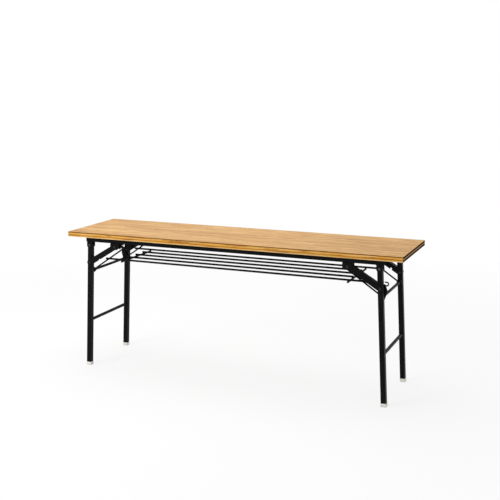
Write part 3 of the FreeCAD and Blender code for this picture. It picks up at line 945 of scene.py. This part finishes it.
pivotBolt = {
    "radius": 0.004,
    "headHeight": 0.0036,
    "headRound": 0.0021,
    "headSteps": 6,
    "socketFlats": 0.005,
    "socketDepth": 0.002,
    "socketLip": 0.0002,
    "socketFlare": 1.07,
    "pitch": 0.00125,
    "threadDepth": 0.0004,
    "threadLength": 0.0045,
    "threadRows": 39,
    "tipLength": 0.0005,
    "tipBevel": 0.0007,
}


def boltRows(low, high):
    # a socket, a rounded head, a plain shank and a thread
    inward = -1 if low.y > 0 else 1
    headRadius = (high.x - low.x) / 2
    length = high.y - low.y
    shank = pivotBolt["radius"]
    curve = pivotBolt["headRound"]
    socket = hexagon(pivotBolt["socketFlats"])
    flare = hexagon(pivotBolt["socketFlats"] * pivotBolt["socketFlare"])
    rows = [(pivotBolt["socketDepth"], socket), (pivotBolt["socketLip"], socket), (0.0, flare)]
    for step in range(pivotBolt["headSteps"] + 1):
        turn = math.pi / 2 * step / pivotBolt["headSteps"]
        rows.append((curve * (1 - math.cos(turn)), headRadius - curve + curve * math.sin(turn)))
    threadStart = length - pivotBolt["threadLength"]
    rows += [(pivotBolt["headHeight"], headRadius), (pivotBolt["headHeight"], shank), (threadStart, shank)]
    for step in range(1, pivotBolt["threadRows"] + 1):
        share = step / pivotBolt["threadRows"]
        offset = threadStart + (pivotBolt["threadLength"] - pivotBolt["tipLength"]) * share
        rows.append((offset, threadTurn(shank, pivotBolt["threadDepth"], pivotBolt["pitch"], offset)))
    rows.append((length, shank - pivotBolt["tipBevel"]))
    return startAt(low, high, low.y if inward > 0 else high.y), Vector((0, inward, 0)), rows


pivotNut = {
    "faceRadius": 0.0062,
    "chamferSlope": 30,
    "chamferDepths": (0.0, 0.0002, 0.0004, 0.0006, 0.0008),
    "boreRoom": 0.00005,
    "boreBevel": 0.0004,
}


def nutRows(low, high):
    # a hollow hexagon, chamfered on both faces
    thick = high.y - low.y
    flats = hexagon(high.z - low.z)
    slope = math.tan(math.radians(pivotNut["chamferSlope"]))
    bore = pivotBolt["radius"] + pivotNut["boreRoom"]
    bevel = pivotNut["boreBevel"]

    def chamfered(depth):
        return lambda angle: min(flats(angle), pivotNut["faceRadius"] + depth / slope)

    face = [(bevel, bore), (0.0, bore + bevel)]
    face += [(depth, chamfered(depth)) for depth in pivotNut["chamferDepths"]]
    rows = face + [(thick - offset, reach) for offset, reach in reversed(face)]
    return startAt(low, high, low.y), Vector((0, 1, 0)), rows


rivet = {
    "radius": 0.004,
    "headHeight": 0.0018,
    "crownRise": 0.0012,
}


def rivetHead(low, high):
    # a crowned head down to the shank
    radius = (high.x - low.x) / 2
    steps = turning["crownSteps"]
    turns = [math.pi / 2 * (step + 0.5) / (steps - 0.5) for step in range(steps)]
    rows = [(rivet["crownRise"] * (1 - math.cos(turn)), radius * math.sin(turn)) for turn in turns]
    return rows + [(rivet["headHeight"], radius), (rivet["headHeight"], rivet["radius"])]


def pinRows(low, high):
    # a head at each end
    length = high.y - low.y
    head = rivetHead(low, high)
    rows = head + [(length - offset, reach) for offset, reach in reversed(head)]
    return startAt(low, high, low.y), Vector((0, 1, 0)), rows


railLow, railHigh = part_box("front_rail")
railMiddle = abs(railLow.y + railHigh.y) / 2


def stubRows(low, high):
    # the head is on the side away from the middle of the rail
    middle = (low.y + high.y) / 2
    inward = -1 if abs(middle) > railMiddle else 1
    inward = inward if middle > 0 else -inward
    rows = rivetHead(low, high) + [(high.y - low.y, rivet["radius"])]
    return startAt(low, high, low.y if inward > 0 else high.y), Vector((0, inward, 0)), rows


railScrew = {
    "radius": 0.0022,
    "headHeight": 0.0022,
    "headRim": 0.0003,
    "faceRadius": 0.0035,
    "faceFlat": 0.93,
    "faceRound": 0.00025,
    "crossInner": 0.0006,
    "crossOuter": 0.0024,
    "crossSharpness": 7,
    "crossDepth": 0.0015,
    "crossLip": 0.0001,
    "floorShares": (0.7, 0.55),
    "flareShares": (1.2, 1.05),
}


def crossShape(innerShare=1.0, outerShare=1.0):
    inner = railScrew["crossInner"] * innerShare
    outer = railScrew["crossOuter"] * outerShare
    return lambda angle: inner + (outer - inner) * abs(math.cos(2 * angle)) ** railScrew["crossSharpness"]


def screwRows(low, high):
    # a countersunk head with a cross recess, and a plain shank
    start = Vector(((low.x + high.x) / 2, (low.y + high.y) / 2, low.z))
    wide = (high.x - low.x) / 2
    face = railScrew["faceRadius"]
    head = railScrew["headHeight"]
    rows = [
        (railScrew["crossDepth"], crossShape(*railScrew["floorShares"])),
        (railScrew["crossLip"], crossShape()),
        (0.0, crossShape(*railScrew["flareShares"])),
        (0.0, face * railScrew["faceFlat"]),
        (railScrew["faceRound"], face),
        (head - railScrew["headRim"], wide),
        (head, wide),
        (head, railScrew["radius"]),
        (high.z - low.z, railScrew["radius"]),
    ]
    return start, Vector((0, 0, 1)), rows


replaceTurned("leg_pivot_bolts", "table_top", "dark_fasteners", boltRows)
replaceTurned("leg_pivot_nuts", "table_top", "dark_fasteners", nutRows, True)
replaceTurned("rail_screws", "table_top", "dark_fasteners", screwRows)
for end in tableEnds:
    replaceTurned(end + "_brace_pins", end + "_legs", "black_rivet", pinRows)
    replaceTurned(end + "_slide_rivets", end + "_carriages", "black_rivet", stubRows)
print("fasteners turned")

# Camera from the photo's measured corners
photoView = {
    "azimuth": 23.222,
    "elevation": 5.209,
    "roll": -0.277,
    "distance": 4.5576,
    "target": (0.05325, 0.0, 1.1370),
    "focalPixels": 899.5,
    "framePixels": 500,
    "opticalRow": 155,
    "sensorWidth": 36.0,
    "farClip": 100.0,
}


def addCamera():
    data = bpy.data.cameras.new("photoCamera")
    data.sensor_width = photoView["sensorWidth"]
    data.lens = photoView["focalPixels"] * photoView["sensorWidth"] / photoView["framePixels"]
    data.shift_y = photoView["opticalRow"] / photoView["framePixels"] - 0.5
    data.clip_end = photoView["farClip"]
    camera = bpy.data.objects.new("photoCamera", data)
    bpy.context.scene.collection.objects.link(camera)
    azimuth = math.radians(photoView["azimuth"])
    elevation = math.radians(photoView["elevation"])
    roll = math.radians(photoView["roll"])
    back = Vector((math.sin(azimuth) * math.cos(elevation), -math.cos(azimuth) * math.cos(elevation),
                   math.sin(elevation)))
    right = Vector((math.cos(azimuth), math.sin(azimuth), 0.0))
    up = back.cross(right)
    across = right * math.cos(roll) + up * math.sin(roll)
    upright = up * math.cos(roll) - right * math.sin(roll)
    turn = Matrix((across, upright, back)).transposed().to_4x4()
    place = Vector(photoView["target"]) + back * photoView["distance"]
    camera.matrix_world = Matrix.Translation(place) @ turn
    bpy.context.scene.camera = camera


addCamera()
print("camera set")

# White studio: the floor and sky look white, and the floor keeps a soft shadow
studio = {
    "white": (1, 1, 1, 1),
    "floorSize": 60.0,
    "floorColor": (0.90, 0.90, 0.90, 1),
    "floorGlow": 0.80,
    "fadeFrom": 1.1,
    "fadeTo": 3.6,
    "skyLight": 0.5,
    "keyPower": 95.0,
    "keyPlace": (-2.4, -3.4, 3.0),
    "keySize": 2.4,
    "topPower": 60.0,
    "topPlace": (-0.7, 0.4, 3.3),
    "topSize": 3.0,
    "aim": (0.0, 0.0, 0.5),
}


def seenDirectly(tree):
    # camera, glossy and transmission rays
    rays = tree.nodes.new("ShaderNodeLightPath").outputs
    seen = mathNode(tree, "MAXIMUM", rays["Is Camera Ray"], rays["Is Glossy Ray"])
    return mathNode(tree, "MAXIMUM", seen, rays["Is Transmission Ray"])


def mixShaders(tree, factor, first, second, outputKind):
    blend = tree.nodes.new("ShaderNodeMixShader")
    plug(tree, factor, blend.inputs["Fac"])
    plug(tree, first.outputs[0], blend.inputs[1])
    plug(tree, second.outputs[0], blend.inputs[2])
    output = tree.nodes.new(outputKind)
    plug(tree, blend.outputs["Shader"], output.inputs["Surface"])


def addFloor():
    half = studio["floorSize"] / 2
    corners = [(-half, -half, 0), (half, -half, 0), (half, half, 0), (-half, half, 0)]
    mesh = bpy.data.meshes.new("studioFloor")
    mesh.from_pydata(corners, [], [(0, 1, 2, 3)])
    floor = bpy.data.objects.new("studioFloor", mesh)
    bpy.context.scene.collection.objects.link(floor)
    finish = bpy.data.materials.new("paleFloor")
    finish.use_nodes = True
    tree = finish.node_tree
    tree.nodes.clear()
    shaded = addNode(tree, "ShaderNodeBsdfDiffuse", {"Color": studio["floorColor"]})
    glow = addNode(tree, "ShaderNodeEmission", {"Color": studio["white"], "Strength": 1.0})
    # plain white further out, so that no horizon shows
    away = addNode(tree, "ShaderNodeVectorMath", operation="LENGTH")
    plug(tree, objectPlace(tree), away.inputs[0])
    white = smoothRange(tree, away.outputs["Value"], studio["fadeFrom"], studio["fadeTo"],
                        studio["floorGlow"], 1.0)
    mixShaders(tree, times(tree, seenDirectly(tree), white), shaded, glow, "ShaderNodeOutputMaterial")
    mesh.materials.append(finish)


def addSky():
    world = bpy.data.worlds.new("studioSky")
    bpy.context.scene.world = world
    world.use_nodes = True
    tree = world.node_tree
    tree.nodes.clear()
    light, white = (addNode(tree, "ShaderNodeBackground", {"Color": studio["white"], "Strength": strength})
                    for strength in (studio["skyLight"], 1.0))
    mixShaders(tree, seenDirectly(tree), light, white, "ShaderNodeOutputWorld")


def addLamp(name, place, power, size):
    data = bpy.data.lights.new(name, "AREA")
    data.energy = power
    data.size = size
    lamp = bpy.data.objects.new(name, data)
    bpy.context.scene.collection.objects.link(lamp)
    lamp.location = place
    lamp.rotation_euler = (Vector(studio["aim"]) - Vector(place)).to_track_quat("-Z", "Y").to_euler()


addFloor()
addSky()
addLamp("keyLamp", studio["keyPlace"], studio["keyPower"], studio["keySize"])
addLamp("topLamp", studio["topPlace"], studio["topPower"], studio["topSize"])
bpy.context.scene.view_settings.view_transform = "Standard"
print("studio lit")
